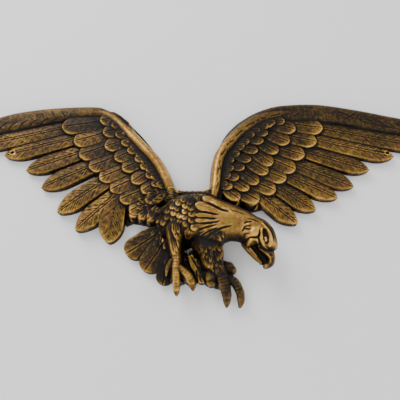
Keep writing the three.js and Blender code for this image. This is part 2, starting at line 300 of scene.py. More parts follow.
@dataclass
class Feather:
    """One tongue-shaped feather with a shaft and barbs, in millimetres."""

    root: np.ndarray
    tip: np.ndarray
    width: float
    height: float
    drop: float = 0.0
    bend: float = 0.0
    lean: float = 0.0
    crown: float = 1.2
    tip_round: float = 0.7
    point: float = 0.5
    root_share: float = 0.75
    widest: float = 0.4
    barb_gap: float = 3.4
    barb_slant: float = 1.2
    barb_depth: float = 0.5
    barb_width: float = 0.5
    shaft_depth: float = 0.8
    shaft_ridge: float = 0.0
    edge: float = 1.4
    gold: float = 0.5
    tip_gold: float = 0.1
    rim_gold: float = 0.0
    seed: float = 0.0

    def stamp(self, relief: Relief, base: np.ndarray | None = None) -> None:
        """Adds the feather to the relief.

        Args:
            relief: The maps.
            base: A map of heights that the feather lies on, in place of the wall.
        """
        ends = np.array([self.root, self.tip], float)
        run = ends[1] - ends[0]
        length = math.hypot(*run)
        along, across = run / length, np.array([-run[1], run[0]]) / length
        at = relief.window(ends, 0.6 * self.width + abs(self.bend) * length + 4)
        dx, dz = relief.x[at] - ends[0][0], relief.z[at] - ends[0][1]
        s = (dx * along[0] + dz * along[1]) / length
        inner = np.clip(s, 0, 1)
        v = dx * across[0] + dz * across[1] - 2 * inner * (1 - inner) * self.bend * length
        grow = self.root_share + (1 - self.root_share) * np.clip(inner / self.widest, 0, 1) ** 0.8
        cap = min(self.tip_round * self.width, 0.7 * length)
        round_off = np.clip(1 - (1 - inner) * length / cap, 0, 1)
        left = np.clip(1 - round_off ** 2, 0, 1)
        half = 0.5 * self.width * grow * left ** self.point
        steep = self.width * self.point * round_off * np.maximum(left, 0.02) ** (self.point - 1) / cap
        level = (half - np.abs(v)) / np.sqrt(1 + steep ** 2)
        past = np.maximum(s - 1, -s) * length
        level = np.where(past > 0, np.minimum(level, -past), level)
        height = self.height - self.drop * (1 - inner) + self.carving(inner * length, v, half, level)
        if base is not None:
            height = height + base[at]
        gold = self.gold + self.tip_gold * smooth(inner, 0.5, 1) - 0.25 * smooth(1 - inner, 0.5, 1)
        gold = gold + self.rim_gold * np.exp(-((level - 0.9) / 0.7) ** 2)
        relief.stamp(at, level, height, 0.0, gold)

    def carving(self, run: np.ndarray, v: np.ndarray, half: np.ndarray,
                level: np.ndarray) -> np.ndarray:
        """The carving over the feather's plain level.

        Args:
            run: Distance from the root.
            v: Distance from the shaft, with its sign.
            half: Half the feather's width there.
            level: Distance inside the outline.

        Returns:
            The height to add.
        """
        reach = np.clip(v / np.maximum(half, 0.5), -1, 1)
        body = self.crown * (1 - reach ** 2) + self.lean * reach
        inset = np.clip(1 - np.clip(level, 0, None) / self.edge, 0, 1)
        body = body - 1.1 * (1 - np.sqrt(1 - 0.98 * inset ** 2))
        cheeks = np.exp(-((np.abs(v) - 1.5) / 0.8) ** 2)
        middle = np.exp(-(v / 0.6) ** 2)
        body = body - self.shaft_depth * (middle - 0.4 * cheeks)
        body = body - self.shaft_ridge * (cheeks - 0.8 * middle)
        phase = (run - np.abs(v) * self.barb_slant) / self.barb_gap + 0.02 * v
        number = np.floor(phase)
        side = np.where(v > 0, 1.0, 0.0)
        share = phase - number - 0.5 + 0.5 * (scatter(number, self.seed + side) - 0.5)
        strength = 0.2 + 0.8 * scatter(number, self.seed + 3 + 2 * side)
        off = share * self.barb_gap / math.hypot(1, self.barb_slant)
        worn = 0.65 + 0.35 * np.sin(1.1 * np.abs(v) + 2.3 * number + self.seed)
        groove = np.exp(-(off / self.barb_width) ** 2) * strength * worn
        keep = smooth(level, 0.2, 1.6)
        return body - self.barb_depth * keep * (groove - 0.3 * share)


@dataclass
class FeatherRow:
    """A row of feathers whose tips and roots follow two curves."""

    tips: Points
    roots: Points
    width: tuple[float, float]
    height: tuple[float, float]
    count: int = 0
    drop: tuple[float, float] = (0.0, 0.0)
    bend: tuple[float, float] = (0.0, 0.0)
    crown: float = 1.2
    tilt: float = 1.4
    tip_round: float = 0.7
    point: float = 0.5
    root_share: float = 0.75
    widest: float = 0.4
    barb_gap: float = 3.4
    barb_slant: float = 1.2
    barb_depth: float = 0.5
    barb_width: float = 0.5
    shaft_depth: float = 0.8
    shaft_ridge: float = 0.0
    edge: float = 1.4
    gold: tuple[float, float] = (0.5, 0.5)
    tip_gold: float = 0.1
    rim_gold: float = 0.0
    seed: float = 1.0
    jitter: float = 0.0

    def feathers(self) -> list[Feather]:
        """The row's feathers, from the first to the last."""
        tips = spline(self.tips, self.count) if self.count else np.array(self.tips, float)
        roots = spline(self.roots, len(tips))
        made = []
        for i, (root, tip) in enumerate(zip(roots, tips)):
            share = i / max(1, len(tips) - 1)
            luck = scatter(np.array([i * 7.0, i * 11.0 + 3]), self.seed) - 0.5
            made.append(Feather(
                root=root, tip=tip + self.jitter * luck, width=mix(self.width, share),
                height=mix(self.height, share), drop=mix(self.drop, share),
                bend=mix(self.bend, share), lean=self.tilt, crown=self.crown,
                tip_round=self.tip_round, point=self.point, root_share=self.root_share,
                widest=self.widest, barb_gap=self.barb_gap, barb_slant=self.barb_slant,
                barb_depth=self.barb_depth, barb_width=self.barb_width,
                shaft_depth=self.shaft_depth, shaft_ridge=self.shaft_ridge, edge=self.edge,
                gold=mix(self.gold, share) + 0.15 * float(luck[0]), tip_gold=self.tip_gold,
                rim_gold=self.rim_gold, seed=self.seed + i,
            ))
        return made

    def stamp(self, relief: Relief, base: np.ndarray | None = None) -> None:
        """Adds the whole row.

        Args:
            relief: The maps.
            base: A map of heights that the row lies on, in place of the wall.
        """
        for feather in self.feathers():
            feather.stamp(relief, base)


@dataclass
class Limb:
    """A rounded member: x, z, height of its middle, half width and half depth along it."""

    stations: Points
    gold: float = 0.4
    on_wall: bool = False
    ring_gap: float = 0.0
    ring_depth: float = 0.6
    squareness: float = 2.0
    seed: float = 0.0

    def stamp(self, relief: Relief) -> None:
        """Adds the member to the relief."""
        path = spline(self.stations, 36)
        at = relief.window(path, path[:, 3].max() + 4)
        d, share = relief.distance(at, path)
        spots = np.linspace(0, 1, len(path))
        middle, half, depth = (np.interp(share, spots, path[:, k]) for k in (2, 3, 4))
        bulge = (1 - np.clip(d / half, 0, 1) ** self.squareness) ** (1 / self.squareness)
        height = middle + depth * bulge
        if self.ring_gap:
            length = np.hypot(*np.diff(path[:, :2], axis=0).T).sum()
            bow = 0.35 * (d / half) ** 2
            phase = share * length / self.ring_gap + bow
            share_in = phase - np.floor(phase)
            cut = np.exp(-((share_in - 0.5) * self.ring_gap / 0.55) ** 2)
            strong = 0.5 + 0.5 * scatter(np.floor(phase), self.seed)
            height = height - self.ring_depth * cut * strong * bulge ** 0.5
        back = 0.0 if self.on_wall else np.maximum(middle - depth * bulge, 0)
        relief.stamp(at, half - d, height, back, self.gold)


@dataclass
class Mound:
    """A rounded mass standing on the wall: x, z, height, half width and gold along it."""

    stations: Points
    foot_gold: float = 1.0
    shoulder: float = 0.45
    fullness: float = 2.2

    def stamp(self, relief: Relief) -> None:
        """Adds the mass to the relief."""
        path = spline(self.stations, 36)
        at = relief.window(path, path[:, 3].max() + 4)
        d, share = relief.distance(at, path)
        spots = np.linspace(0, 1, len(path))
        top, half, gold = (np.interp(share, spots, path[:, k]) for k in (2, 3, 4))
        bulge = (1 - np.clip(d / half, 0, 1) ** self.fullness) ** (1 / self.fullness)
        height = top * (self.shoulder + (1 - self.shoulder) * bulge)
        gold = gold * (self.foot_gold + (1 - self.foot_gold) * smooth(bulge, 0.6, 0.97))
        relief.stamp(at, half - d, height, 0.0, gold)


@dataclass
class Panel:
    """A flat sheet of metal inside an outline of straight runs."""

    outline: Points
    height: float
    gold: float = 0.1

    def stamp(self, relief: Relief) -> None:
        """Adds the sheet to the relief."""
        loop = np.array([p[:2] for p in self.outline] + [self.outline[0][:2]], float)
        at = relief.window(loop, 3)
        level = relief.inside(at, loop)
        relief.stamp(at, level, np.full(level.shape, self.height), 0.0, self.gold)


@dataclass
class Cushion:
    """A rounded mass inside a smooth outline; x, middle, depth and rounding along x."""

    outline: Points
    stations: Points
    gold: float = 0.4
    foot_gold: float = 1.0
    fullness: float = 2.0
    on_wall: bool = False

    def stamp(self, relief: Relief) -> None:
        """Adds the mass to the relief."""
        loop = spline([*self.outline, self.outline[0]], 10 * len(self.outline))
        at = relief.window(loop, 4)
        level = relief.inside(at, loop)
        table = np.array(self.stations, float)
        middle, depth, radius = (np.interp(relief.x[at], table[:, 0], table[:, k]) for k in (1, 2, 3))
        edge = np.clip(1 - np.clip(level, 0, None) / radius, 0, 1)
        bulge = (1 - edge ** self.fullness) ** (1 / self.fullness)
        back = 0.0 if self.on_wall else np.maximum(middle - depth * bulge, 0)
        gold = self.gold * (self.foot_gold + (1 - self.foot_gold) * smooth(bulge, 0.5, 0.95))
        relief.stamp(at, level, middle + depth * bulge, back, gold)


@dataclass
class Ruffle:
    """Short ragged feathers in rows along a path, lying on the forms below."""

    path: Points
    reach: float
    rows: int
    across: int
    size: tuple[float, float]
    turn: float = 0.0
    fan: float = 0.5
    lift: float = 1.6
    gold: float = 0.35
    tip_gold: float = 0.3
    loose: float = 0.7
    seed: float = 1.0

    def stamp(self, relief: Relief) -> None:
        """Adds the feathers to the relief."""
        spots = spline(self.path, self.rows + 1)
        base = blur(relief.front, 1.5)
        outline = relief.level.copy()
        for i in range(self.rows - 1, -1, -1):
            run = spots[i + 1, :2] - spots[i, :2]
            run = run / math.hypot(*run)
            side = np.array([-run[1], run[0]])
            for j in range(self.across):
                luck = scatter(np.array([1.0, 2.0, 3.0, 4.0]) + 9 * i + 31 * j, self.seed) - 0.5
                share = (j + 0.5 * (i % 2) + 0.25) / self.across * 2 - 1
                root = spots[i, :2] + side * share * self.reach + 2.0 * luck[:2]
                angle = self.turn + self.fan * share + self.loose * luck[2]
                way = run * math.cos(angle) + side * math.sin(angle)
                Feather(
                    root=root, tip=root + way * self.size[0] * (1 + 0.6 * luck[3]),
                    width=self.size[1] * (1 + 0.4 * luck[0]), height=self.lift * (1 + 0.4 * luck[0]),
                    drop=self.lift, crown=0.4, lean=0.6 * luck[1], tip_round=1.4, point=0.7,
                    root_share=0.8, bend=0.3 * luck[1], barb_gap=3, barb_slant=1.6,
                    barb_depth=0.5, shaft_depth=0.9, edge=0.8, tip_gold=self.tip_gold,
                    gold=self.gold + 0.3 * luck[2], seed=self.seed + 7 * i + j,
                ).stamp(relief, base)
        relief.level = outline


@dataclass
class Wing:
    """A wing: its web of metal, raised leading edge, long feathers and coverts."""

    edge: Points
    inner: Points
    bar: Points
    slope: Points
    bed: Points
    band: Points
    primaries: FeatherRow
    coverts: list[FeatherRow]
    marginals: list[FeatherRow]
    hollows: Points
    hollow_half: float = 15.0
    hollow_depth: tuple[float, float] = (4.5, 6.5)
    hollow_count: int = 4
    hollow_rib: float = 8.0
    inner_primary: Feather | None = None
    web_height: float = 5.0
    bed_height: float = 10.0
    band_gold: float = 0.28
    bar_marks: int = 0

    def stamp(self, relief: Relief) -> None:
        """Adds the wing to the relief."""
        rim = [tuple(p) for p in spline(self.edge, 44)[:, :2]]
        Panel(rim + self.inner, self.web_height, gold=0.1).stamp(relief)
        Panel(self.bed, self.bed_height, gold=0.0).stamp(relief)
        self.primaries.stamp(relief)
        if self.inner_primary:
            self.inner_primary.stamp(relief)
        Cushion(self.band, [(-320, 4.5, 5, 7), (-200, 5, 6.5, 9), (-120, 5.5, 7.5, 9),
                            (120, 5.5, 7.5, 9), (200, 5, 6.5, 9), (320, 4.5, 5, 7)],
                gold=self.band_gold, foot_gold=0.45, on_wall=True).stamp(relief)
        Mound(self.slope, shoulder=0.7, fullness=2.0).stamp(relief)
        Mound(self.bar, foot_gold=0.4, shoulder=0.5, fullness=2.0).stamp(relief)
        outline = relief.level.copy()
        for row in [*self.coverts, *self.marginals]:
            row.stamp(relief)
        relief.level = outline
        self.mark_bar(relief)

    def mark_bar(self, relief: Relief) -> None:
        """Cuts short ragged scratches along the bar's inner side."""
        spots = spline(self.bar, 40)
        slope = spline(self.slope, 40)
        for k in range(self.bar_marks):
            luck = scatter(np.array([k, k + 0.5, k + 0.7]), 4.0)
            i = int((0.02 + 0.9 * k / self.bar_marks) * 38)
            way = spots[i + 1, :2] - spots[i, :2]
            way = way / math.hypot(*way)
            side = slope[i, :2] - spots[i, :2]
            side = side / max(1e-3, math.hypot(*side))
            a = spots[i, :2] + side * (1.0 + 4.5 * luck[0])
            b = a + way * (3 + 5 * luck[1]) + side * 2.5 * (luck[2] - 0.5)
            relief.carve([tuple(a), tuple((a + b) / 2 + 0.5), tuple(b)], 0.8, 0.7, gold=-0.4)

    def hollow(self, relief: Relief) -> None:
        """Leaves the tapered hollows in the wing's back, with a rib between each two."""
        path = spline(self.hollows, 121)[:, :2]
        length = np.hypot(*np.diff(path, axis=0).T).sum()
        rib = self.hollow_rib / length
        for k in range(self.hollow_count):
            start = (k + 2 * rib) / self.hollow_count
            stop = (k + 1 - 2 * rib) / self.hollow_count
            corners = []
            for share, side in ((start, -1), (stop, -1), (stop, 1), (start, 1)):
                i = min(int(share * 120), 119)
                way = path[i + 1] - path[i]
                way = way / math.hypot(*way)
                corners.append((path[i][0] - way[1] * self.hollow_half * side,
                                path[i][1] + way[0] * self.hollow_half * side))
            relief.hollow(corners, mix(self.hollow_depth, k / (self.hollow_count - 1)))


def left_wing() -> Wing:
    """The wing on the viewer's left."""
    return Wing(
        edge=[(-290, 146), (-254, 158), (-206, 165), (-150, 167), (-118, 157),
              (-84, 126), (-56, 89), (-39, 54), (-30, 34)],
        inner=[(-30, -8), (-58, -11), (-68, -6), (-84, -3), (-93, -7), (-106, 14), (-132, 52),
               (-160, 88), (-200, 118)],
        bar=[(-34, 26, 24, 7, 0.5), (-46, 56, 24, 8, 0.64), (-59, 79, 23, 8, 0.62),
             (-79, 102, 21, 8, 0.6), (-101, 127, 18, 8, 0.58), (-117, 144, 15.5, 8, 0.48),
             (-130, 153, 13.5, 8, 0.4), (-148, 158, 12, 7, 0.3)],
        slope=[(-38, 25, 19, 8, 0.25), (-51, 52, 18.5, 10, 0.3), (-66, 76, 17.5, 11, 0.32),
               (-85, 98, 16, 11, 0.32), (-106, 122, 14.5, 10, 0.28), (-122, 139, 12.5, 8, 0.25),
               (-132, 147, 11, 6, 0.2)],
        bed=[(-34, 26), (-44, 54), (-62, 90), (-90, 126), (-128, 156), (-160, 156), (-172, 136),
             (-146, 104), (-120, 72), (-96, 46), (-80, 20), (-60, 14)],
        band=[(-320, 126), (-309, 138), (-290, 147), (-254, 158.5), (-206, 165.5), (-150, 167.5),
              (-131, 163), (-112, 151), (-97, 135), (-94, 129), (-104, 130), (-117, 143),
              (-127, 149), (-142, 148), (-163, 147), (-178, 145), (-196, 143),
              (-218, 138.5), (-240, 132), (-273, 124.5), (-300, 116.5), (-315, 117)],
        primaries=FeatherRow(
            tips=[(-300, 107), (-263, 92), (-230, 69), (-206, 44), (-181, 10), (-155, -14)],
            roots=[(-135, 148), (-116, 124), (-94, 84), (-81, 52)],
            width=(26, 29), height=(6.5, 9.5), drop=(-2, -6), bend=(0.02, -0.05), tilt=1.4,
            tip_round=1.15, point=0.68, root_share=0.55, widest=0.75, barb_gap=4.4,
            barb_slant=1.3, barb_depth=1.3, barb_width=0.7, shaft_depth=0.4, shaft_ridge=1.0,
            gold=(0.26, 0.4), seed=2),
        inner_primary=Feather(
            root=np.array([-100.0, 34]), tip=np.array([-112.5, -30]), width=33, height=10,
            drop=-5, bend=-0.085, lean=-1.2, tip_round=0.9, point=0.6, root_share=0.5,
            widest=0.7, barb_gap=4.2, barb_slant=1.3, barb_depth=1.4, barb_width=0.7,
            shaft_depth=1.0, shaft_ridge=0.6, gold=0.42, seed=9),
        coverts=[
            FeatherRow(
                tips=[(-188, 134), (-171, 111), (-159, 90), (-145, 72), (-131, 54), (-114, 38),
                      (-100, 23), (-88, 7)],
                roots=[(-127, 145), (-112, 129), (-100, 112), (-88, 95), (-76, 80), (-64, 66),
                       (-54, 50), (-52, 27)],
                width=(28, 22), height=(12, 17), drop=(2.2, 2.2), bend=(0.03, -0.02),
                barb_gap=3.6, barb_slant=1.2, barb_depth=1.0, barb_width=0.6, shaft_depth=1.0,
                gold=(0.16, 0.36), rim_gold=0.2, tip_round=0.55, jitter=3, seed=3),
            FeatherRow(
                tips=[(-138, 143), (-131, 122), (-127, 100), (-112, 81), (-101, 67), (-88, 49),
                      (-74, 33), (-68, 20)],
                roots=[(-106, 150), (-98, 131), (-91, 111), (-80, 96), (-70, 83), (-60, 67),
                       (-50, 51), (-44, 34)],
                width=(24, 19), height=(14, 20), drop=(2.2, 2.2), bend=(0.03, 0),
                barb_gap=3.4, barb_slant=1.2, barb_depth=0.9, barb_width=0.6, shaft_depth=1.0,
                gold=(0.12, 0.28), rim_gold=0.2, tip_round=0.55, jitter=3, seed=4),
            FeatherRow(
                tips=[(-119, 132), (-110, 114), (-97, 95), (-84, 77), (-73, 60), (-60, 43)],
                count=8,
                roots=[(-97, 138), (-88, 122), (-76, 104), (-66, 87), (-57, 69), (-48, 52)],
                width=(20, 17), height=(16, 21), drop=(3, 3), gold=(0.06, 0.2), rim_gold=0.22,
                tip_round=0.6, barb_gap=3.2, barb_slant=1.2, barb_depth=0.8, shaft_depth=0.8,
                jitter=3, seed=5),
            FeatherRow(
                tips=[(-88, 3), (-70, -2), (-54, -6)], count=4,
                roots=[(-64, 20), (-48, 15), (-32, 8)],
                width=(14, 12), height=(16, 20), drop=(2.2, 2.2), gold=(0.4, 0.4), barb_gap=2.6,
                seed=6),
        ],
        marginals=[
            FeatherRow(
                tips=[(-113, 131), (-98, 107), (-81, 84), (-66, 61), (-57, 43)], count=9,
                jitter=4, roots=[(-99, 132), (-82, 107), (-65, 83), (-51, 61), (-43, 44)],
                width=(15, 14), height=(15.5, 21), drop=(2.5, 2.5), gold=(0.1, 0.2),
                rim_gold=0.25, barb_gap=2.8, barb_slant=1.2, barb_depth=0.6, shaft_depth=0.8,
                tip_round=0.6, seed=7),
        ],
        hollows=[(-200, 140), (-150, 134), (-104, 92), (-70, 34)],
    )


def right_wing() -> Wing:
    """The wing on the viewer's right."""
    return Wing(
        edge=[(10, 34), (15, 60), (21, 92), (40, 129), (72, 155), (118, 170), (165, 171.5),
              (216, 164), (256, 155), (290, 147)],
        inner=[(196, 116), (160, 84), (128, 46), (98, 20), (66, 12), (28, 14)],
        bar=[(17, 26, 25, 7, 0.52), (20.5, 48, 25, 8, 0.66), (22.5, 68, 24.5, 8, 0.6),
             (29, 90, 23, 8.5, 0.5), (44, 112, 20.5, 9, 0.46), (62, 131, 18, 9.5, 0.46),
             (85, 146, 15.5, 10, 0.42), (113, 154, 13.5, 10, 0.4), (140, 157, 12.5, 9, 0.3)],
        slope=[(20, 26, 19, 8, 0.2), (25, 48, 19, 8, 0.2), (28, 67, 18.5, 8.5, 0.22),
               (35, 87, 17.5, 9, 0.22), (50, 108, 15.5, 9, 0.22), (68, 126, 14, 9, 0.22),
               (90, 139, 12.5, 9, 0.22), (116, 147, 11, 7, 0.2)],
        bed=[(16, 26), (20, 62), (27, 92), (46, 128), (76, 151), (116, 163), (150, 150),
             (154, 130), (136, 100), (114, 70), (92, 46), (70, 26), (40, 20)],
        bar_marks=26, band_gold=0.22,
        band=[(320, 126), (309, 138), (290, 146.5), (256, 154.5), (216, 163.5), (165, 171.5),
              (118, 170), (92, 164), (66, 151), (44, 132), (32, 114), (38, 112), (56, 126),
              (80, 138), (106, 142), (134, 141), (158, 141), (171, 141.5), (199, 138.5),
              (218, 133.5), (243, 128), (273, 124), (300, 117), (315, 118)],
        primaries=FeatherRow(
            tips=[(300, 106), (260, 90), (224, 70), (200, 46), (177, 30), (147, 13),
                  (122, -5)],
            roots=[(108, 148), (104, 128), (92, 86), (66, 40)],
            width=(26, 26), height=(6.5, 9.5), drop=(-2, -6), bend=(-0.02, 0.01), tilt=-1.4,
            tip_round=1.1, point=0.72, root_share=0.6, widest=0.7, barb_gap=4.4,
            barb_slant=1.4, barb_depth=1.3, barb_width=0.7, shaft_depth=0.4, shaft_ridge=1.0,
            gold=(0.36, 0.44), seed=12),
        coverts=[
            FeatherRow(
                tips=[(167, 131), (158, 110), (139, 87), (124, 68.5), (111, 52), (97, 36),
                      (76, 22)],
                roots=[(120, 140), (108, 123), (92, 100), (79, 84), (67, 68), (56, 53),
                       (44, 40)],
                width=(25, 22), height=(12, 17), drop=(2.2, 2.2), bend=(-0.03, 0), tilt=-1.4,
                barb_gap=3.6, barb_slant=1.2, barb_depth=1.0, barb_width=0.6, shaft_depth=1.5,
                gold=(0.3, 0.38), tip_gold=0.35, rim_gold=0.2, tip_round=0.55, jitter=3,
                seed=13),
            FeatherRow(
                tips=[(130, 128), (119, 109), (105, 92), (95, 75), (87, 60), (75, 47), (62, 36),
                      (49, 24)],
                roots=[(97, 139), (86, 122), (73, 107), (63, 92), (55, 77), (47, 64), (39, 52),
                       (32, 38)],
                width=(22, 17), height=(14, 20), drop=(2.2, 2.2), bend=(-0.03, 0), tilt=-1.4,
                barb_gap=3.4, barb_slant=1.2, barb_depth=0.9, barb_width=0.6, shaft_depth=1.3,
                gold=(0.16, 0.3), tip_gold=0.3, rim_gold=0.2, tip_round=0.55, jitter=3,
                seed=14),
            FeatherRow(
                tips=[(100, 134), (93, 120), (85, 107), (76, 92), (67, 79), (58, 66), (49, 53),
                      (41, 40)],
                roots=[(80, 140), (70, 128), (60, 112), (50, 96), (42, 82), (36, 69), (31, 56),
                       (26, 44)],
                width=(17, 14), height=(15.5, 21), drop=(3, 3), bend=(-0.03, 0), tilt=-1.4,
                barb_gap=3.2, barb_slant=1.2, barb_depth=0.8, shaft_depth=0.9,
                gold=(0.08, 0.18), tip_gold=0.15, rim_gold=0.25, tip_round=0.6, jitter=3,
                seed=15),
        ],
        marginals=[
            FeatherRow(
                tips=[(114, 139), (93, 133), (75, 119), (59, 100), (47, 82), (40, 62), (36, 46)],
                count=12, jitter=4,
                roots=[(98, 143), (78, 133), (60, 118), (45, 98), (34, 80), (28, 60), (25, 46)],
                width=(15, 13), height=(15, 21), drop=(2.5, 2.5), tilt=-0.8, gold=(0.04, 0.06),
                tip_gold=0.1, rim_gold=0.25, barb_gap=2.8, barb_slant=1.2, barb_depth=0.6,
                shaft_depth=0.8, tip_round=0.6, seed=16),
        ],
        hollows=[(200, 136), (144, 128), (92, 92), (56, 34)],
    )


@dataclass
class Body:
    """Torso, breast scales and the plumage around them."""

    torso: Points = field(default_factory=lambda: [
        (-52, -13, 12, 8, 0.2), (-42, -8, 25, 19, 0.25), (-22, -1, 35, 28, 0.3),
        (4, 0, 37, 29, 0.3), (24, -4, 36, 24, 0.3)])
    bridge: Points = field(default_factory=lambda: [
        (-33, 38), (-29, 35.5), (-20, 34.2), (2, 34.2), (9, 35.5), (13, 38), (22, 8), (-40, 8)])
    bridge_height: float = 22.0
    breast_low: tuple[float, float] = (-44.0, -36.0)
    breast_high: tuple[float, float] = (0.0, 19.0)
    scale_pitch: tuple[float, float] = (8.8, 6.6)
    scale_size: tuple[float, float] = (14.0, 10.8)
    hollows: list[tuple[float, ...]] = field(default_factory=lambda: [
        (-30, -4, 15, 15), (28, -6, 15, 14)])
    hollow_depth: float = 22.0

    def stamp(self, relief: Relief) -> None:
        """Adds the body to the relief."""
        Mound(self.torso, shoulder=0.45, fullness=2.4).stamp(relief)
        Panel(self.bridge, self.bridge_height, gold=0.1).stamp(relief)
        for ruffle in (
                Ruffle([(-34, 33), (-10, 31), (14, 29)], 7, 9, 5, (10, 4), turn=-0.9, gold=0.1,
                       seed=21),
                Ruffle([(-16, 29), (-36, 26), (-56, 18), (-70, 12)], 9, 9, 5, (15, 6),
                       turn=0.1, lift=1.7, gold=0.22, seed=22),
                Ruffle([(-12, 22), (-30, 16), (-46, 9), (-56, 3)], 9, 8, 6, (14, 5.4),
                       turn=0.3, lift=1.6, gold=0.2, seed=23),
                Ruffle([(-30, 8), (-42, -2), (-46, -16), (-44, -30)], 7, 7, 4, (13, 5),
                       lift=1.5, gold=0.1, seed=25),
                Ruffle([(4, -10), (-8, -20), (-16, -36)], 12, 6, 6, (13, 5), turn=-0.4,
                       lift=1.6, gold=0.2, seed=24)):
            ruffle.stamp(relief)

    def breast(self, relief: Relief) -> None:
        """Adds the overlapping scales of the breast."""
        base = blur(relief.front, 5)
        middle = np.add(self.breast_low, self.breast_high) / 2
        half = np.subtract(self.breast_high, self.breast_low) / 2
        lean = math.radians(-25)
        for row in range(-5, 6):
            for column in range(-4, 5):
                luck = scatter(np.array([1.0, 2.0, 3.0]) + 5 * row + 61 * column, 3.0) - 0.5
                u = (column + 0.5 * (row % 2) + 0.3 * luck[0]) * self.scale_pitch[0]
                v = (row + 0.3 * luck[1]) * self.scale_pitch[1]
                spot = middle + np.array([u * math.cos(lean) - v * math.sin(lean),
                                          u * math.sin(lean) + v * math.cos(lean)])
                far = math.hypot(*((spot - middle) / half))
                if far > 1:
                    continue
                angle = math.radians(-122) + 0.5 * luck[2] - 0.02 * u
                way = np.array([math.cos(angle), math.sin(angle)])
                length = self.scale_size[0] * (1 + 0.25 * luck[1])
                Feather(
                    root=spot - 0.5 * length * way, tip=spot + 0.5 * length * way,
                    width=self.scale_size[1] * (1 + 0.25 * luck[2]), height=3.6, drop=5.0,
                    crown=0.7, lean=0.7 * luck[0], tip_round=0.6, root_share=0.85,
                    barb_gap=2.6, barb_slant=1.2, barb_depth=0.4, shaft_depth=0.6, edge=1.0,
                    gold=0.52 - 0.45 * far ** 2 + 0.5 * luck[0], tip_gold=0.2,
                    seed=30.0 + row + 9 * column,
                ).stamp(relief, base)

    def hollow(self, relief: Relief) -> None:
        """Leaves the two round hollows in the body's back."""
        for x, z, half_width, half_height in self.hollows:
            angles = [math.pi * (k + 0.5) / 8 for k in range(16)]
            relief.hollow([(x + half_width * math.cos(a), z + half_height * math.sin(a))
                           for a in angles], self.hollow_depth)


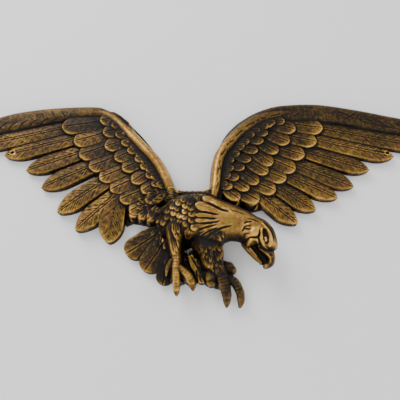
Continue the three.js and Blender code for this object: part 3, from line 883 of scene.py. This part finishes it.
@dataclass
class Head:
    """Neck, head, beak and eye."""

    neck: Points = field(default_factory=lambda: [
        (-8, 22), (18.5, 23.7), (36, 15.6), (57.1, 4.3), (67.6, -3.5), (77, -8.6), (82.6, -14.1),
        (87, -20.3), (89.6, -29.6), (90.4, -40.6), (87.5, -44.6), (80, -46.5), (71, -43.5),
        (66.5, -39), (61, -40.5), (54.5, -42), (50.9, -36.7), (47.5, -33), (42.3, -31.2),
        (36.3, -30.6), (30.2, -31.8), (24, -36), (10, -38), (-4, -30), (-12, -6)])
    neck_rise: Points = field(default_factory=lambda: [
        (-14, 14, 22, 20), (14, 17, 21.5, 20), (38, 23, 20.5, 18), (56, 27, 18.5, 16),
        (70, 30, 16.5, 14), (80, 31.5, 14, 12), (92, 32, 11, 9)])
    lobes: list[Points] = field(default_factory=lambda: [
        [(48, 1), (3, 20), (14, 0.62)], [(34, -1), (-6, 10), (14, 0.68)],
        [(28, -6), (-5, -4), (9, 0.6)], [(26, -8), (-6, -11), (8, 0.65)],
        [(24, -12), (-7, -18), (7.5, 0.5)], [(24, -14), (-12, -25), (7, 0.45)],
        [(28, -16), (-9, -32), (7, 0.4)], [(32, -18), (-3, -37), (7, 0.35)]])
    beak: Points = field(default_factory=lambda: [
        (67, -37), (77, -35), (87.5, -37), (86.2, -45.3), (86.9, -52.1), (86, -58.7),
        (83.6, -63), (77.7, -66), (73.6, -66), (72, -63.2), (73.6, -60.6), (76.6, -59),
        (77.9, -55), (75.2, -50.6), (69.9, -45.6), (66, -40)])
    mandible: Points = field(default_factory=lambda: [
        (52, -36.5, 27, 3.4, 5), (56.6, -42.5, 28, 3.6, 5), (61.4, -48.6, 28, 3.2, 4.6),
        (66.2, -54, 28, 2.6, 4), (71, -58.8, 27.6, 1.6, 2.6)])
    socket: Points = field(default_factory=lambda: [
        (73.2, -21), (76.2, -22.6), (78.6, -27.6), (79.6, -33), (79.2, -38), (77.2, -41.4),
        (74, -40), (71.7, -35), (71.4, -28), (71.9, -23.4)])

    def stamp(self, relief: Relief) -> None:
        """Adds the head and neck to the relief."""
        Cushion(self.neck, self.neck_rise, gold=0.72, foot_gold=0.25, fullness=2.1).stamp(relief)
        base = blur(relief.front, 4)
        for i, (root, tip, (width, gold)) in enumerate(self.lobes):
            Feather(root=np.array(root, float), tip=np.array(tip, float), width=width,
                    height=2.2, drop=5.0, crown=1.4, tip_round=0.9, root_share=0.95,
                    barb_gap=8, barb_slant=5, barb_depth=0.5, barb_width=0.6, shaft_depth=0.3,
                    edge=2.0, gold=gold, tip_gold=0.05, seed=60.0 + i).stamp(relief, base)
        Cushion([(55, -36), (66, -36), (70.5, -45), (76, -50), (79, -55), (77.5, -61),
                 (72.5, -60.6), (65.6, -53), (58.6, -44)],
                [(50, 24, 4, 3), (90, 24, 4, 3)], gold=0.12).stamp(relief)
        Cushion(self.beak, [(60, 30, 8, 6), (75, 31, 8.5, 6), (88, 31, 7, 5)], gold=0.2,
                foot_gold=0.5).stamp(relief)
        Limb(self.mandible, gold=0.08).stamp(relief)
        self.details(relief)

    def details(self, relief: Relief) -> None:
        """Carves the brow, eye, cheek, mouth corner, nostril and neck strokes, and paints shade on the
        neck's sides and crown.
        """
        relief.sink(self.socket, 3.0, 2.0, -0.45)
        relief.sink([(60, -19), (70, -19), (69, -29), (61, -33), (56, -27)], -1.2, 4, 0.25)
        lines = [
            # Painted shade on the neck's upper and lower sides and on the crown, round a lighter
            # middle; the beak's root and lower end coloured darker
            ([(16, 22), (38, 13), (58, 2), (72, -6), (82, -16), (88, -30), (89, -42)],
             0.0, 4.2, 0.1, -0.55),
            ([(40, 15), (60, 3), (76, -8), (86, -22), (88, -40)], 0.0, 8.0, 0.2, -0.22),
            ([(10, -35), (26, -33), (44, -30), (54, -38)], 0.0, 3.6, 0.1, -0.4),
            ([(70, -44), (79, -47), (87, -44)], 0.0, 4.5, 0.1, -0.3),
            ([(78, -56), (80, -62), (76, -65)], 0.0, 4.0, 0.1, -0.25),
            # Neck strokes
            ([(4, 15), (15.3, 8.7), (25.5, 2.6), (37, -1.5)], 2.6, 1.2, 0.3, -0.7),
            ([(30, 4), (44, -1), (56, -6)], 0.8, 0.9, 0.4, -0.2),
            ([(-2, 1), (9, -0.5), (24, -4.5)], 1.6, 1.0, 0.3, -0.6),
            ([(-3, -7.4), (8, -7.4), (22, -9)], 1.8, 1.0, 0.3, -0.6),
            ([(-1, -14.4), (10, -13.5), (25, -11.8)], 2.0, 1.1, 0.3, -0.6),
            ([(-4, -22), (8, -18.5), (22, -15)], 1.8, 1.0, 0.3, -0.6),
            ([(-2, -29.5), (10, -23.5), (24, -18.5)], 1.8, 1.0, 0.3, -0.6),
            ([(3.5, -36), (9, -29.5), (17, -24), (26, -19.8), (40, -17.6)], 2.2, 1.2, 0.3, -0.6),
            # Cheek crescents
            ([(52.4, -11.3), (58.3, -10.6), (66.6, -13.9), (70, -18)], 1.0, 0.7, 0.3, -0.4),
            ([(50.6, -17.6), (53.9, -14.6), (61.5, -14)], 1.5, 0.8, 0.25, -0.6),
            ([(49.3, -21.8), (53.7, -19.4), (60, -19)], 1.5, 0.8, 0.25, -0.6),
            ([(48.2, -26), (51.3, -22.4), (59.4, -23.8)], 1.5, 0.9, 0.25, -0.6),
            ([(49.6, -30), (53, -27.5), (57, -28)], 1.0, 0.7, 0.3, -0.4),
            # Brow, crown line and lids
            ([(71, -14.5), (76.4, -21), (80.8, -28), (82, -34.5), (81, -40), (77.5, -45)],
             -1.8, 0.9, 0.12, 0.35),
            ([(72, -12.6), (79.3, -20.4), (83.2, -28), (84.2, -36)], 1.6, 0.8, 0.2, -0.5),
            ([(69, -9.6), (77.4, -14.6), (83, -21), (86.5, -29), (87.4, -38)],
             -0.8, 0.8, 0.2, 0.1),
            ([(71.6, -21), (69.6, -28), (69.4, -34), (71.4, -39.6), (75.5, -43.8), (79.4, -44.6)],
             -1.6, 0.8, 0.12, 0.3),
            ([(68.6, -22), (67.4, -30), (68.2, -37), (72.6, -43.6)], 0.9, 0.8, 0.2, -0.4),
            # Gape, mouth corner, cere and nostril
            ([(52, -36.6), (56.6, -32.6), (64.5, -32.4), (68.4, -29.6), (69, -25)],
             1.8, 0.9, 0.15, -0.7),
            ([(56, -37.6), (60.4, -34.4), (65.3, -35.1), (67.4, -39)], -1.6, 0.9, 0.1, 0.35),
            ([(67.9, -40.6), (71.8, -44), (78.3, -46.6), (86.6, -45.6)], 1.5, 0.8, 0.1, -0.6),
            ([(67.5, -42.4), (71.5, -46.8), (77, -51.2), (80, -56), (79, -62)],
             -0.9, 0.8, 0.15, 0.3),
            ([(80.6, -51), (81.8, -52.4)], 1.4, 0.9, 0.0, -0.5),
            ([(57, -40.4), (61.7, -46.5), (66.4, -52.4)], -1.1, 0.6, 0.12, 0.75),
        ]
        for path, depth, width, fade, gold in lines:
            relief.carve(path, depth, width, fade, gold)

    def eye(self, relief: Relief) -> None:
        """Sets the eyeball in its socket."""
        Limb([(75.2, -33.2, 39.6, 2.9, 4.6), (75.8, -35.6, 39.2, 2.9, 4.6)],
             gold=0.7).stamp(relief)


@dataclass
class Leg:
    """A leg: its shank, toes and claws, with rings of scutes."""

    shank: Points
    toes: list[Points]
    claws: list[Points]
    gold: float
    ring_gap: float = 3.4

    def stamp(self, relief: Relief) -> None:
        """Adds the leg to the relief."""
        for member in [self.shank, *self.toes]:
            Limb(member, gold=self.gold, ring_gap=self.ring_gap, ring_depth=1.0,
                 seed=member[0][0]).stamp(relief)
        for claw in self.claws:
            Limb(claw, gold=0.08).stamp(relief)


@dataclass
class Eagle:
    """The whole casting."""

    body: Body = field(default_factory=Body)
    head: Head = field(default_factory=Head)
    tail: list[Points] = field(default_factory=lambda: [
        [(-46, -14), (-90.5, -43.5), (29, 8, 0.28)], [(-42, -26), (-67, -64.5), (28.5, 8, 0.28)],
        [(-34, -38), (-45, -80.5), (21, 7, 0.05)], [(-22, -36), (-25, -80.5), (19, 6, 0.0)],
        [(-8, -40), (-11, -81.5), (17, 6, 0.0)], [(8, -50), (14, -82.5), (17, 6.5, 0.3)],
        [(18, -55), (22, -85), (13, 6.5, 0.1)], [(-12, -46), (6, -79), (14, 10, 0.62)]])
    nail_holes: Points = field(default_factory=lambda: [(-252, 95), (252, 95)])
    nail_hole_radius: float = 2.2

    def relief(self, pitch: float) -> Relief:
        """The finished height maps.

        Args:
            pitch: The spacing of their samples in millimetres.

        Returns:
            The maps.
        """
        relief = Relief(pitch=pitch)
        wings = [left_wing(), right_wing()]
        for wing in wings:
            wing.stamp(relief)
        self.scratches(relief)
        for i, (root, tip, (width, height, gold)) in enumerate(self.tail):
            Feather(root=np.array(root, float), tip=np.array(tip, float), width=width,
                    height=height, drop=-4, bend=0.03, lean=-1.0, crown=1.4, tip_round=0.45,
                    root_share=0.5, barb_gap=4.2, barb_slant=2.8, barb_depth=1.1,
                    barb_width=0.7, shaft_depth=1.2, gold=gold, seed=41.0 + i).stamp(relief)
        self.body.stamp(relief)
        self.head.stamp(relief)
        self.body.breast(relief)
        self.legs(relief)
        self.head.eye(relief)
        for x, z in self.nail_holes:
            relief.pierce(x, z, self.nail_hole_radius)
        relief.finish()
        for part in [*wings, self.body]:
            part.hollow(relief)
        return relief

    @staticmethod
    def scratches(relief: Relief) -> None:
        """Cuts the wide barbs and creases of the smooth bands at the leading edges."""
        for k in range(8):
            x = -304 + 13.5 * k
            z = 122 + 1.9 * k
            relief.carve([(x, z), (x + 6, z + 9), (x + 15, z + 17 - 0.6 * k)],
                         0.8, 0.55, 0.3, -0.35)
        for x, z, long in ((-221, 158, 15), (-206, 161, 17), (-194, 161, 12), (-228, 155, 10)):
            relief.carve([(x, z), (x + 3, z - 0.5 * long), (x + 9, z - long)],
                         0.5, 0.7, 0.3, -0.12)
        for k in range(7):
            x = 214 + 14 * k
            z = 152 - 3.0 * k
            relief.carve([(x, z), (x + 12, z - 11), (x + 30, z - 17)], 0.7, 0.55, 0.3, -0.25)
        relief.carve([(186, 158), (200, 154), (216, 144)], 0.8, 0.8, 0.3, -0.2)
        relief.carve([(222, 159), (212, 153), (196, 143)], 0.8, 0.8, 0.3, -0.2)
        relief.carve([(236, 98.5), (252, 95)], 1.0, 0.8, 0.1, -0.4)

    def legs(self, relief: Relief) -> None:
        """Adds both legs with their ruffled thighs."""
        Limb([(-30, -16, 22, 12, 14), (-30, -32, 24, 8.5, 11), (-29, -46, 23, 6, 8)],
             gold=0.0).stamp(relief)
        Ruffle([(-31, -12), (-31, -28), (-29, -46)], 9, 6, 5, (17, 4.6), lift=2.8, gold=0.16,
               tip_gold=0.4, loose=0.5, fan=0.35, seed=51).stamp(relief)
        Limb([(4, -30, 14, 15, 16), (13, -42, 18, 15, 14), (15, -55, 19, 13, 11),
              (20, -63, 19, 9, 8)], gold=0.0).stamp(relief)
        Ruffle([(5, -26), (12, -38), (15, -50), (18, -62)], 15, 8, 9, (14, 3.6), lift=2.2,
               gold=0.04, tip_gold=0.4, fan=0.35, seed=52).stamp(relief)
        Leg(shank=[(-28.6, -46, 24, 5.4, 7), (-28, -54, 24, 4.8, 6), (-27.7, -62, 24.5, 4.8, 6)],
            toes=[[(-27.7, -60, 25, 4.6, 5), (-27.5, -74, 24, 4.2, 4.8), (-27.2, -87, 21, 4, 4.4)],
                  [(-26, -62, 24, 4.2, 4.8), (-14.5, -71.5, 22, 4.4, 4.4),
                   (-9.6, -79, 18, 4.2, 4)]],
            claws=[[(-27.2, -86, 21, 4, 4.4), (-27.1, -91, 18.5, 3.4, 3.8),
                    (-27.1, -93.6, 17, 1.8, 2.4)],
                   [(-10, -78, 19, 4.2, 4.2), (-8.6, -84, 15, 3.8, 3.8), (-8.3, -87, 14, 2, 2)],
                   [(-33, -56, 22, 4, 4.6), (-38, -63, 16, 3.4, 4), (-40, -70, 11, 1.4, 2)]],
            gold=0.4).stamp(relief)
        Leg(shank=[(19, -58, 20, 8.5, 9), (22.5, -67, 20, 7, 7.5)],
            toes=[[(22.5, -64, 20, 7, 7), (28, -79, 18.5, 6.6, 6), (31, -94, 15, 5.6, 5.4)],
                  [(28, -71, 15, 5.6, 6), (41, -79.5, 15, 5.4, 5.4), (47, -91, 12, 5, 5)]],
            claws=[[(31, -92, 15.6, 5.6, 5.4), (31.2, -101, 11, 4.2, 4.4), (31, -105.4, 9, 2, 2.4)],
                   [(47, -90, 12.4, 5, 5), (47.8, -99, 9, 4.4, 4.4), (46.7, -105.4, 6.5, 2.2, 2.4)],
                   [(12.6, -66, 16.5, 6, 5.5), (13, -73, 17, 7, 6.5), (13.5, -78, 14, 5.8, 5)],
                   [(27, -57, 12, 5, 6), (34, -61.6, 12, 7.6, 7.4), (37.5, -64, 12, 6, 6)]],
            gold=0.04, ring_gap=3.8).stamp(relief)


MM = 0.001


@dataclass(frozen=True)
class Value:
    """One socket's output in a material, for arithmetic in plain expressions."""

    tree: bpy.types.NodeTree
    socket: bpy.types.NodeSocket

    def _math(self, operation: str, first: object, second: object = None) -> Value:
        """A Math node on one or two values."""
        node = self.tree.nodes.new("ShaderNodeMath")
        node.operation = operation
        for slot, item in zip(node.inputs, (first, second)):
            if isinstance(item, Value):
                self.tree.links.new(item.socket, slot)
            elif item is not None:
                slot.default_value = item
        return Value(self.tree, node.outputs[0])

    def __add__(self, other: Value | float) -> Value:
        """Sum."""
        return self._math("ADD", self, other)

    __radd__ = __add__

    def __mul__(self, other: Value | float) -> Value:
        """Product."""
        return self._math("MULTIPLY", self, other)

    __rmul__ = __mul__

    def __sub__(self, other: Value | float) -> Value:
        """Difference."""
        return self._math("SUBTRACT", self, other)

    def __rsub__(self, other: float) -> Value:
        """Difference, the value taken away."""
        return self._math("SUBTRACT", other, self)

    def clamp(self) -> Value:
        """Held between 0 and 1."""
        node = self.tree.nodes.new("ShaderNodeClamp")
        self.tree.links.new(self.socket, node.inputs["Value"])
        return Value(self.tree, node.outputs[0])

    def step(self, low: float, high: float) -> Value:
        """A soft step from 0 at low to 1 at high."""
        node = self.tree.nodes.new("ShaderNodeMapRange")
        node.interpolation_type = "SMOOTHSTEP"
        self.tree.links.new(self.socket, node.inputs["Value"])
        node.inputs["From Min"].default_value = low
        node.inputs["From Max"].default_value = high
        return Value(self.tree, node.outputs["Result"])


@dataclass
class Finish:
    """A material under construction."""

    name: str

    def __post_init__(self) -> None:
        """Makes the empty material."""
        self.material = bpy.data.materials.new(self.name)
        self.material.use_nodes = True
        self.tree = self.material.node_tree
        self.tree.nodes.clear()

    def node(self, kind: str, settings: dict | None = None,
             sockets: dict | None = None) -> bpy.types.Node:
        """Adds a node.

        Args:
            kind: The node's type.
            settings: Its own settings, such as an operation, or a ramp's stops.
            sockets: Values or links of its inputs, by name or number.

        Returns:
            The node.
        """
        node = self.tree.nodes.new(kind)
        for key, item in (settings or {}).items():
            if key == "stops":
                ramp = node.color_ramp
                while len(ramp.elements) < len(item):
                    ramp.elements.new(0.5)
                for element, (place, colour) in zip(ramp.elements, item):
                    element.position = place
                    element.color = (*colour, 1)
            else:
                setattr(node, key, item)
        for key, item in (sockets or {}).items():
            if isinstance(item, Value):
                self.tree.links.new(item.socket, node.inputs[key])
            elif isinstance(item, bpy.types.NodeSocket):
                self.tree.links.new(item, node.inputs[key])
            else:
                node.inputs[key].default_value = item
        return node

    def value(self, socket: bpy.types.NodeSocket) -> Value:
        """Wraps an output for arithmetic."""
        return Value(self.tree, socket)

    def attribute(self, name: str) -> Value:
        """A number kept on the mesh's points."""
        return self.value(self.node("ShaderNodeAttribute", {"attribute_name": name}).outputs["Fac"])

    def noise(self, scale: float, detail: float = 3.0, roughness: float = 0.55) -> Value:
        """Soft noise on the object's own coordinates.

        Args:
            scale: Blotches to the metre.
            detail: How many finer layers it has.
            roughness: How strong those layers are.

        Returns:
            The noise, about 0.5.
        """
        place = self.node("ShaderNodeTexCoord").outputs["Object"]
        node = self.node("ShaderNodeTexNoise", None, {
            "Vector": place, "Scale": scale, "Detail": detail, "Roughness": roughness})
        return self.value(node.outputs["Fac"])


@dataclass(frozen=True)
class AgedBrass:
    """Dark antique brass, rubbed bright on its high places, with painted highlights on its ridges and
    painted shade in its hollows and on its side walls.
    """

    # recess and shade are patina with painted shade in the hollows; bright is rubbed metal with painted
    # highlights on the ridges.
    recess: tuple[float, float, float] = (0.008, 0.006, 0.005)
    shade: tuple[float, float, float] = (0.030, 0.019, 0.010)
    olive: tuple[float, float, float] = (0.135, 0.082, 0.016)
    umber: tuple[float, float, float] = (0.135, 0.066, 0.020)
    gold: tuple[float, float, float] = (0.330, 0.190, 0.036)
    copper: tuple[float, float, float] = (0.330, 0.165, 0.044)
    bright: tuple[float, float, float] = (0.640, 0.370, 0.090)

    def build(self) -> bpy.types.Material:
        """The finished material."""
        finish = Finish("aged_brass")
        # The two point masks carry the real rubbing and patina together with painted highlights and
        # painted shade.
        rub, grime = finish.attribute("rub"), finish.attribute("grime")
        cloud = finish.noise(22, 4)
        speck = finish.noise(260, 3, 0.7)
        grain = finish.noise(1400, 2, 0.6)
        # This mix of rubbing, patina, painted highlights and painted shade picks the tint, the metal's
        # shine and the roughness.
        wear_and_shade = rub + (cloud - 0.5) * 0.6 + (speck - 0.5) * 0.9 + (grain - 0.5) * 0.4
        wear_and_shade = (wear_and_shade * (1 - grime)).clamp()
        tints = [finish.node("ShaderNodeValToRGB", {"stops": [
            (0.0, self.recess), (0.25, self.shade), (0.5, middle), (0.78, top),
            (1.0, self.bright)]}, {"Fac": wear_and_shade}).outputs["Color"]
            for middle, top in ((self.olive, self.gold), (self.umber, self.copper))]
        colour = finish.node("ShaderNodeMix", {"data_type": "RGBA"}, {
            0: finish.noise(75, 3, 0.6).step(0.4, 0.62), 6: tints[0], 7: tints[1]}).outputs[2]
        relief = grain * 0.5 + speck
        bump = finish.node("ShaderNodeBump", None, {
            "Strength": 0.35, "Distance": 0.0006, "Height": relief})
        shader = finish.node("ShaderNodeBsdfPrincipled", None, {
            "Base Color": colour,
            "Metallic": 0.72 + wear_and_shade * 0.28,
            "Roughness": 0.56 - wear_and_shade * 0.2 + (speck - 0.5) * 0.1,
            "Normal": bump.outputs["Normal"]})
        finish.node("ShaderNodeOutputMaterial", None, {"Surface": shader.outputs[0]})
        return finish.material


@dataclass
class ReliefMesh:
    """Turns the finished height maps into one closed mesh."""

    relief: Relief
    name: str = "eagle_relief"
    faces: int = 185_000

    def build(self) -> bpy.types.Object:
        """Makes the mesh object with its rubbing, patina, painted highlights and painted shade kept on
        its points.

        Returns:
            The object, at the origin, in metres.
        """
        mesh = self.shell()
        piece = bpy.data.objects.new(self.name, mesh)
        bpy.context.scene.collection.objects.link(piece)
        thin = piece.modifiers.new("thin", "DECIMATE")
        thin.ratio = self.faces / len(mesh.polygons)
        thin.use_collapse_triangulate = True
        graph = bpy.context.evaluated_depsgraph_get()
        plain = bpy.data.meshes.new_from_object(piece.evaluated_get(graph))
        piece.modifiers.clear()
        piece.data = plain
        plain.name = self.name
        bpy.data.meshes.remove(mesh)
        self.dress(plain)
        return piece

    def shell(self) -> bpy.types.Mesh:
        """The full mesh of front, back and side walls."""
        relief = self.relief
        level, rows, columns = relief.level, *relief.level.shape
        inside = level > 0
        tables = [np.full((rows, columns), -1) for _ in range(3)]
        tables[0][inside] = np.arange(inside.sum())
        count = int(inside.sum())
        places = [np.stack([relief.x[inside], relief.z[inside], relief.front[inside],
                            relief.back[inside]], axis=1)]
        for table, (di, dj) in ((tables[1], (0, 1)), (tables[2], (1, 0))):
            a = (slice(0, rows - di), slice(0, columns - dj))
            b = (slice(di, rows), slice(dj, columns))
            crossing = inside[a] != inside[b]
            share = level[a][crossing] / (level[a][crossing] - level[b][crossing])
            share = np.clip(share, 0.08, 0.92)[:, None]
            stack = [np.stack([m[s][crossing] for m in (relief.x, relief.z, relief.front, relief.back)],
                              axis=1) for s in (a, b)]
            places.append(stack[0] * (1 - share) + stack[1] * share)
            i, j = np.nonzero(crossing)
            table[i, j] = count + np.arange(len(i))
            count += len(i)
        spots = np.concatenate(places)
        triangles, walls = self.cells(inside, tables)
        front = np.stack([spots[:, 0], -spots[:, 2], spots[:, 1]], axis=1)
        back = np.stack([spots[:, 0], -spots[:, 3], spots[:, 1]], axis=1)
        a, b = walls[:, 0], walls[:, 1]
        sides = np.concatenate([np.stack([b, a, a + count], axis=1),
                                np.stack([b, a + count, b + count], axis=1)])
        corners = np.concatenate([triangles, triangles[:, ::-1] + count, sides])
        mesh = bpy.data.meshes.new("shell")
        points = np.concatenate([front, back]) * MM
        mesh.vertices.add(len(points))
        mesh.vertices.foreach_set("co", points.ravel())
        mesh.loops.add(corners.size)
        mesh.loops.foreach_set("vertex_index", corners.ravel())
        mesh.polygons.add(len(corners))
        mesh.polygons.foreach_set("loop_start", np.arange(0, corners.size, 3))
        mesh.update(calc_edges=True)
        mesh.validate()
        return mesh

    @staticmethod
    def cells(inside: np.ndarray, tables: list[np.ndarray]) -> tuple[np.ndarray, np.ndarray]:
        """The triangles of every square of four samples, and the open edges.

        Args:
            inside: Which samples lie on the casting.
            tables: Point numbers of the samples and of the two kinds of crossings.

        Returns:
            Triangles of the front, and pairs of points along the outline.
        """
        grid, flat, upright = tables
        corner = [inside[:-1, :-1], inside[:-1, 1:], inside[1:, 1:], inside[1:, :-1]]
        ids = [grid[:-1, :-1], flat[:-1, :-1], grid[:-1, 1:], upright[:-1, 1:],
               grid[1:, 1:], flat[1:, :-1], grid[1:, :-1], upright[:-1, :-1]]
        code = sum(c.astype(int) << k for k, c in enumerate(corner))
        triangles, walls = [], []
        for case in range(1, 16):
            here = code == case
            if not here.any():
                continue
            held = [bool(case >> k & 1) for k in range(4)]
            ring = []
            for k in range(4):
                if held[k]:
                    ring.append(2 * k)
                if held[k] != held[(k + 1) % 4]:
                    ring.append(2 * k + 1)
            points = [ids[k][here] for k in ring]
            for k in range(1, len(ring) - 1):
                triangles.append(np.stack([points[0], points[k], points[k + 1]], axis=1))
            for k, name in enumerate(ring):
                after = ring[(k + 1) % len(ring)]
                if name % 2 and after % 2:
                    walls.append(np.stack([points[k], points[(k + 1) % len(ring)]], axis=1))
        return np.concatenate(triangles), np.concatenate(walls)

    def dress(self, mesh: bpy.types.Mesh) -> None:
        """Keeps the rubbing, patina, painted highlights and painted shade of the nearest samples on the
        mesh's points.

        Args:
            mesh: The thinned mesh.
        """
        relief = self.relief
        spots = np.empty(3 * len(mesh.vertices))
        mesh.vertices.foreach_get("co", spots)
        x, y, z = spots.reshape(-1, 3).T / MM
        height = self.look(relief.front, x, z)
        on_front = smooth(-y - height, -3.0, -1.2)
        # Ridges above their surroundings are made lighter, a painted highlight over the rubbing;
        # hollows below them are made darker, patina with painted shade.
        fine = relief.front - blur(relief.front, 1.1 / relief.pitch)
        broad = relief.front - blur(relief.front, 3.2 / relief.pitch)
        rub = relief.gold + 0.5 * np.clip(fine, -1, 1) + 0.12 * np.clip(broad, -3, 2)
        grime = np.clip(-1.5 * fine - 0.3 * broad - 0.05, 0, 0.97)
        # Points off the front, on the side walls and the back, get a fixed darker tone, darkest on the
        # outer side walls: patina with painted shade.
        inner = smooth(self.look(relief.level, x, z), 0.3, 1.5)
        for name, field_map, off in (("rub", rub, 0.15 + 0.25 * inner),
                                     ("grime", grime, 0.55 - 0.4 * inner)):
            seen = self.look(field_map, x, z)
            kept = mesh.attributes.new(name, "FLOAT", "POINT")
            kept.data.foreach_set("value", seen * on_front + off * (1 - on_front))
        mesh.shade_smooth()
        mesh.set_sharp_from_angle(angle=math.radians(60))

    def look(self, values: np.ndarray, x: np.ndarray, z: np.ndarray) -> np.ndarray:
        """A map's values at any spots.

        Args:
            values: The map.
            x: The spots' x in millimetres.
            z: The spots' z in millimetres.

        Returns:
            The values, worked out between samples.
        """
        relief = self.relief
        u = np.clip((x - relief.low[0]) / relief.pitch, 0, values.shape[1] - 1.001)
        v = np.clip((z - relief.low[1]) / relief.pitch, 0, values.shape[0] - 1.001)
        j, i = u.astype(int), v.astype(int)
        a, b = u - j, v - i
        low = values[i, j] * (1 - a) + values[i, j + 1] * a
        high = values[i + 1, j] * (1 - a) + values[i + 1, j + 1] * a
        return low * (1 - b) + high * b


@dataclass(frozen=True)
class Studio:
    """The pale wall and floor, the soft lights and the camera."""

    distance: float = 0.521
    drop_angle: float = math.radians(21)
    aim_height: float = 0.030
    floor_level: float = -0.42
    stage_reach: float = 3.5
    wall_gap: float = 0.0012
    wall_colour: tuple[float, float, float] = (0.95, 0.945, 0.935)

    def build(self) -> None:
        """Sets the whole stage."""
        low, reach, gap = self.floor_level, self.stage_reach, self.wall_gap
        self.sheet("stage_wall", [(-reach, gap, low), (reach, gap, low), (reach, gap, reach),
                                  (-reach, gap, reach)], one_sided=True)
        self.sheet("stage_floor", [(-reach, -reach, low), (reach, -reach, low),
                                   (reach, reach, low), (-reach, reach, low)], one_sided=False)
        self.light("key", (-0.9, -1.1, 1.3), (0, 0, 0.03), 1.1, 24)
        self.light("fill", (1.2, -1.3, 0.5), (0, 0, 0.03), 1.4, 5)
        self.light("rear", (0.3, 1.6, 1.0), (0, 0, 0.03), 1.4, 16)
        world = bpy.data.worlds.new("studio")
        world.use_nodes = True
        background = world.node_tree.nodes["Background"]
        background.inputs["Color"].default_value = (0.93, 0.95, 1.0, 1)
        background.inputs["Strength"].default_value = 0.76
        bpy.context.scene.world = world
        self.camera()

    def sheet(self, name: str, corners: list[tuple[float, float, float]], one_sided: bool) -> None:
        """Adds one flat backdrop.

        Args:
            name: Its name.
            corners: Its four corners.
            one_sided: True if it isn't seen from behind.
        """
        finish = Finish(name)
        paint = finish.node("ShaderNodeBsdfPrincipled", None, {
            "Base Color": (*self.wall_colour, 1), "Roughness": 0.9})
        surface = paint.outputs[0]
        if one_sided:
            side = finish.node("ShaderNodeNewGeometry").outputs["Backfacing"]
            clear = finish.node("ShaderNodeBsdfTransparent")
            surface = finish.node("ShaderNodeMixShader", None, {
                0: side, 1: surface, 2: clear.outputs[0]}).outputs[0]
        finish.node("ShaderNodeOutputMaterial", None, {"Surface": surface})
        mesh = bpy.data.meshes.new(name)
        mesh.from_pydata(corners, [], [(0, 1, 2, 3)])
        mesh.materials.append(finish.material)
        sheet = bpy.data.objects.new(name, mesh)
        bpy.context.scene.collection.objects.link(sheet)
        if one_sided:
            sheet.visible_shadow = False

    @staticmethod
    def light(name: str, place: tuple[float, float, float], aim: tuple[float, float, float],
              size: float, power: float) -> None:
        """Adds one square soft light.

        Args:
            name: Its name.
            place: Where it stands.
            aim: What it faces.
            size: Its side in metres.
            power: Its watts.
        """
        lamp = bpy.data.lights.new(name, "AREA")
        lamp.size, lamp.energy = size, power
        holder = bpy.data.objects.new(name, lamp)
        holder.location = place
        holder.rotation_euler = (Vector(aim) - Vector(place)).to_track_quat("-Z", "Y").to_euler()
        bpy.context.scene.collection.objects.link(holder)

    def camera(self) -> None:
        """Adds the camera, below the square-on direction."""
        lens = bpy.data.cameras.new("camera")
        lens.lens, lens.sensor_width, lens.clip_start = 36, 36, 0.01
        camera = bpy.data.objects.new("camera", lens)
        camera.location = (0, -self.distance * math.cos(self.drop_angle),
                           self.aim_height - self.distance * math.sin(self.drop_angle))
        camera.rotation_euler = (math.radians(90) + self.drop_angle, 0, 0)
        bpy.context.scene.collection.objects.link(camera)
        bpy.context.scene.camera = camera


def main() -> None:
    """Builds the plaque and its studio."""
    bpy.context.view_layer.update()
    Studio().build()
    started = time.time()
    relief = Eagle().relief(RELIEF_PITCH)
    log.info("relief worked out in %.1f s", time.time() - started)
    casting = ReliefMesh(relief).build()
    casting.data.materials.clear()
    casting.data.materials.append(AgedBrass().build())
    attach(casting, "root")
    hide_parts("eagle_casting")
    log.info("%s: %d faces after %.1f s", casting.name, len(casting.data.polygons),
             time.time() - started)


if __name__ == "__main__":
    main()
